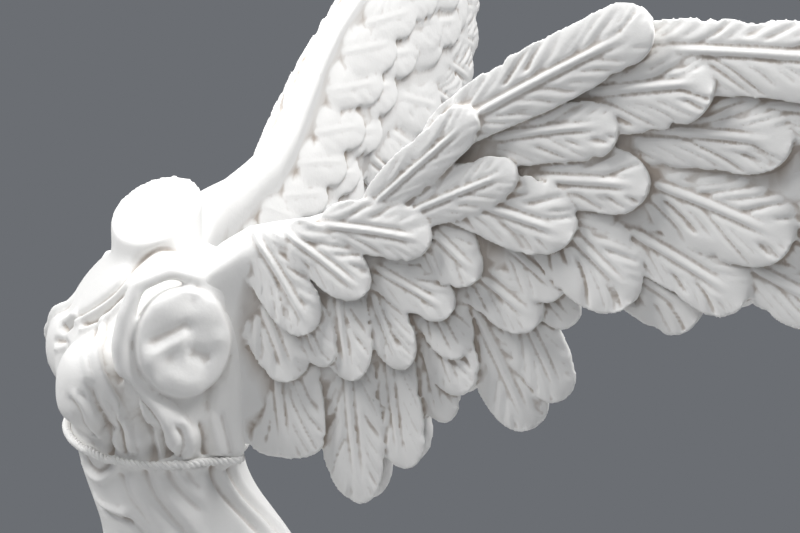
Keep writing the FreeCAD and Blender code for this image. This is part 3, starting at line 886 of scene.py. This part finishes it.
def bump(nodes, links, shader, height, distance, strength):
    """Gives the shader a bump from a height, at most distance metres high."""
    node = nodes.new("ShaderNodeBump")
    node.inputs["Distance"].default_value = distance
    node.inputs["Strength"].default_value = strength
    links.new(height, node.inputs["Height"])
    links.new(node.outputs["Normal"], shader.inputs["Normal"])


def resin(name, base, wash_and_shade):
    """Matte cast resin, faintly mottled, with its hollows darkened: a real antiquing wash plus
    painted shade.
    """
    material, nodes, links = new_material(name)
    shader = nodes["Principled BSDF"]
    where = nodes.new("ShaderNodeTexCoord").outputs["Object"]
    mottle = noise(nodes, links, 90, 3, where)
    grain = noise(nodes, links, 1500, 3, where)
    colour = mix_colours(
        nodes, links, remap(nodes, links, mottle, 0.3, 0.7), base, tuple(c * 0.965 for c in base)
    )
    # The hollows' depths darken the colour: partly a real antiquing wash, partly painted shade
    # standing in for the shadow in creases and recesses.
    depths = []
    for layer, low, high, most in (
        ("fine_hollow", 0.012, 0.075, 0.6), ("broad_hollow", 0.05, 0.32, 0.75),
    ):
        depth = nodes.new("ShaderNodeAttribute")
        depth.attribute_name = layer
        depths.append(remap(nodes, links, depth.outputs["Fac"], low, high, 0, most))
    patchy = remap(nodes, links, mottle, 0.3, 0.65, 0.65, 1)
    # kept is the share of painted shade and real antiquing wash at each point.
    kept = combine(nodes, links, "MULTIPLY", combine(nodes, links, "ADD", *depths), patchy)
    colour = mix_colours(nodes, links, kept, colour, wash_and_shade)
    links.new(colour, shader.inputs["Base Color"])
    links.new(remap(nodes, links, mottle, 0.2, 0.8, 0.5, 0.66), shader.inputs["Roughness"])
    shader.inputs["Specular IOR Level"].default_value = 0.35
    bump(nodes, links, shader, grain, 0.0001, 0.35)
    return material


def edge_wear(nodes, links, where, radius):
    """1 on convex edges, 0 on flat faces, broken up by noise."""
    bevel = nodes.new("ShaderNodeBevel")
    bevel.samples = 4
    bevel.inputs["Radius"].default_value = radius
    flat = nodes.new("ShaderNodeNewGeometry")
    dot = nodes.new("ShaderNodeVectorMath")
    dot.operation = "DOT_PRODUCT"
    links.new(bevel.outputs["Normal"], dot.inputs[0])
    links.new(flat.outputs["Normal"], dot.inputs[1])
    edge = remap(nodes, links, dot.outputs["Value"], 0.99, 0.85)
    return combine(nodes, links, "MULTIPLY", edge, noise(nodes, links, 220, 4, where))


def block_resin():
    """The plinth's resin: mottled, with a few shallow pits and darker worn edges."""
    material, nodes, links = new_material("plinth_resin")
    shader = nodes["Principled BSDF"]
    where = nodes.new("ShaderNodeTexCoord").outputs["Object"]
    mottle = noise(nodes, links, 45, 5, where)
    pits = remap(nodes, links, noise(nodes, links, 420, 2, where), 0.66, 0.76)
    pale, dull = (0.84, 0.83, 0.81), (0.79, 0.775, 0.75)
    colour = mix_colours(nodes, links, remap(nodes, links, mottle, 0.35, 0.7), pale, dull)
    worn = combine(nodes, links, "ADD", edge_wear(nodes, links, where, 0.0006), pits)
    colour = mix_colours(
        nodes, links, combine(nodes, links, "MULTIPLY", worn, 0.35), colour, (0.47, 0.41, 0.36)
    )
    links.new(colour, shader.inputs["Base Color"])
    links.new(remap(nodes, links, mottle, 0.3, 0.7, 0.48, 0.64), shader.inputs["Roughness"])
    shader.inputs["Specular IOR Level"].default_value = 0.35
    height = combine(nodes, links, "SUBTRACT", noise(nodes, links, 900, 3, where), pits)
    bump(nodes, links, shader, height, 0.00015, 0.4)
    return material


def metal(name, colour, dark, roughness):
    """Turned or ground metal with faint streaks, dulled here and there."""
    material, nodes, links = new_material(name)
    shader = nodes["Principled BSDF"]
    where = nodes.new("ShaderNodeTexCoord").outputs["Object"]
    dull = noise(nodes, links, 260, 5, where)
    streaks = noise(nodes, links, 3000, 2, where)
    rubbed = combine(nodes, links, "MULTIPLY", edge_wear(nodes, links, where, 0.0002), 0.3)
    tarnish = remap(nodes, links, dull, 0.45, 0.75, 0, 0.7)
    worn = combine(nodes, links, "ADD", tarnish, rubbed)
    links.new(mix_colours(nodes, links, worn, colour, dark), shader.inputs["Base Color"])
    links.new(
        remap(nodes, links, dull, 0.3, 0.7, roughness, roughness + 0.18), shader.inputs["Roughness"]
    )
    shader.inputs["Metallic"].default_value = 1
    bump(nodes, links, shader, streaks, 0.00003, 0.3)
    return material


def pressed_felt():
    """Dark felt: matted fibres, a little paler where it has rubbed."""
    material, nodes, links = new_material("felt")
    shader = nodes["Principled BSDF"]
    where = nodes.new("ShaderNodeTexCoord").outputs["Object"]
    fibres = noise(nodes, links, 2600, 6, where)
    rubbed = noise(nodes, links, 60, 3, where)
    colour = mix_colours(nodes, links, fibres, (0.05, 0.05, 0.054), (0.1, 0.1, 0.106))
    colour = mix_colours(
        nodes, links, remap(nodes, links, rubbed, 0.5, 0.8, 0, 0.5), colour, (0.13, 0.128, 0.13)
    )
    links.new(colour, shader.inputs["Base Color"])
    links.new(remap(nodes, links, rubbed, 0.3, 0.7, 0.9, 1.0), shader.inputs["Roughness"])
    shader.inputs["Sheen Weight"].default_value = 0.3
    bump(nodes, links, shader, fibres, 0.0004, 0.8)
    return material


# The third colour is that of the hollows: a real antiquing wash and painted shade in one.
white = resin("white_resin", (0.86, 0.85, 0.83), (0.42, 0.36, 0.31))
steel = metal("steel", (0.6, 0.6, 0.61), (0.38, 0.37, 0.37), 0.28)
FINISHES = {
    "plinth": block_resin(),
    "felt_pad": pressed_felt(),
    "threaded_insert": metal("brass", (0.78, 0.62, 0.32), (0.5, 0.37, 0.18), 0.25),
    "base_screw": steel,
    "base_washer": steel,
    "locating_peg": steel,
    "left_wing_dowels": steel,
    "right_wing_dowels": steel,
}
for name, finish in FINISHES.items():
    node = frame["nodes"][name]
    node.data.materials.clear()
    node.data.materials.append(finish)

left = finish_wing("left_wing_feathers", 1, 11)
right = finish_wing("right_wing_feathers", -1, 23)
body, cord = figure()
for piece, node in (
    (left, "left_wing"), (right, "right_wing"), (body, "figure_casting"), (cord, None),
):
    faces = piece.data.polygons
    faces.foreach_set("use_smooth", np.ones(len(faces), bool))
    piece.data.materials.clear()
    piece.data.materials.append(white)
    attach(piece, "root")
    if node:
        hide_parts(node)

# ---------------------------------------------------------------- stage, light and camera


def stage():
    """A plain round floor."""
    ring = np.arange(96) / 96 * 2 * math.pi
    mesh = bpy.data.meshes.new("floor")
    mesh.from_pydata([(math.cos(a) * 0.45, math.sin(a) * 0.45, 0) for a in ring], [], [range(96)])
    floor = bpy.data.objects.new("floor", mesh)
    bpy.context.scene.collection.objects.link(floor)
    material, nodes, links = new_material("floor")
    nodes["Principled BSDF"].inputs["Base Color"].default_value = (0.5, 0.5, 0.5, 1)
    mesh.materials.append(material)


LIGHTS_AIM = Vector((0, 0.02, 0.2))


def area_light(name, azimuth, elevation, distance, size, power):
    """A square soft light that looks at the figure's upper half."""
    a, e = math.radians(azimuth), math.radians(elevation)
    back = Vector((math.sin(a) * math.cos(e), -math.cos(a) * math.cos(e), math.sin(e)))
    lamp = bpy.data.lights.new(name, "AREA")
    lamp.energy, lamp.size = power, size
    made = bpy.data.objects.new(name, lamp)
    made.location = LIGHTS_AIM + back * distance
    made.rotation_euler = (-back).to_track_quat("-Z", "Y").to_euler()
    bpy.context.scene.collection.objects.link(made)


CAMERA_AZIMUTH = math.radians(71)
CAMERA_ELEVATION = math.radians(10)
CAMERA_DISTANCE = 0.600


def camera():
    """Looks at a point behind the figure's left shoulder, so that the wing fills the view."""
    a, e = CAMERA_AZIMUTH, CAMERA_ELEVATION
    back = Vector((math.sin(a) * math.cos(e), -math.cos(a) * math.cos(e), math.sin(e)))
    across = Vector((math.cos(a), math.sin(a), 0))
    up = back.cross(across)
    neck = Vector((0, FIGURE_Y, SHOULDER_Z)) * 0.001
    data = bpy.data.cameras.new("camera")
    data.lens = 151.2
    made = bpy.data.objects.new("camera", data)
    made.location = neck + across * 0.0434 - up * 0.00295 + back * CAMERA_DISTANCE
    made.rotation_euler = (-back).to_track_quat("-Z", "Y").to_euler()
    bpy.context.scene.collection.objects.link(made)
    bpy.context.scene.camera = made


def world():
    """An even grey backdrop, which is also the fill light."""
    scene = bpy.context.scene
    scene.world = bpy.data.worlds.new("studio")
    scene.world.use_nodes = True
    backdrop = scene.world.node_tree.nodes["Background"]
    backdrop.inputs["Color"].default_value = (0.147, 0.156, 0.171, 1)
    scene.view_settings.view_transform = "Standard"


stage()
world()
camera()
area_light("key", 145, 60, 0.6, 0.32, 4.4)
area_light("front", -20, 52, 0.65, 0.34, 3.9)
area_light("side", 60, 38, 1.2, 0.8, 2.8)
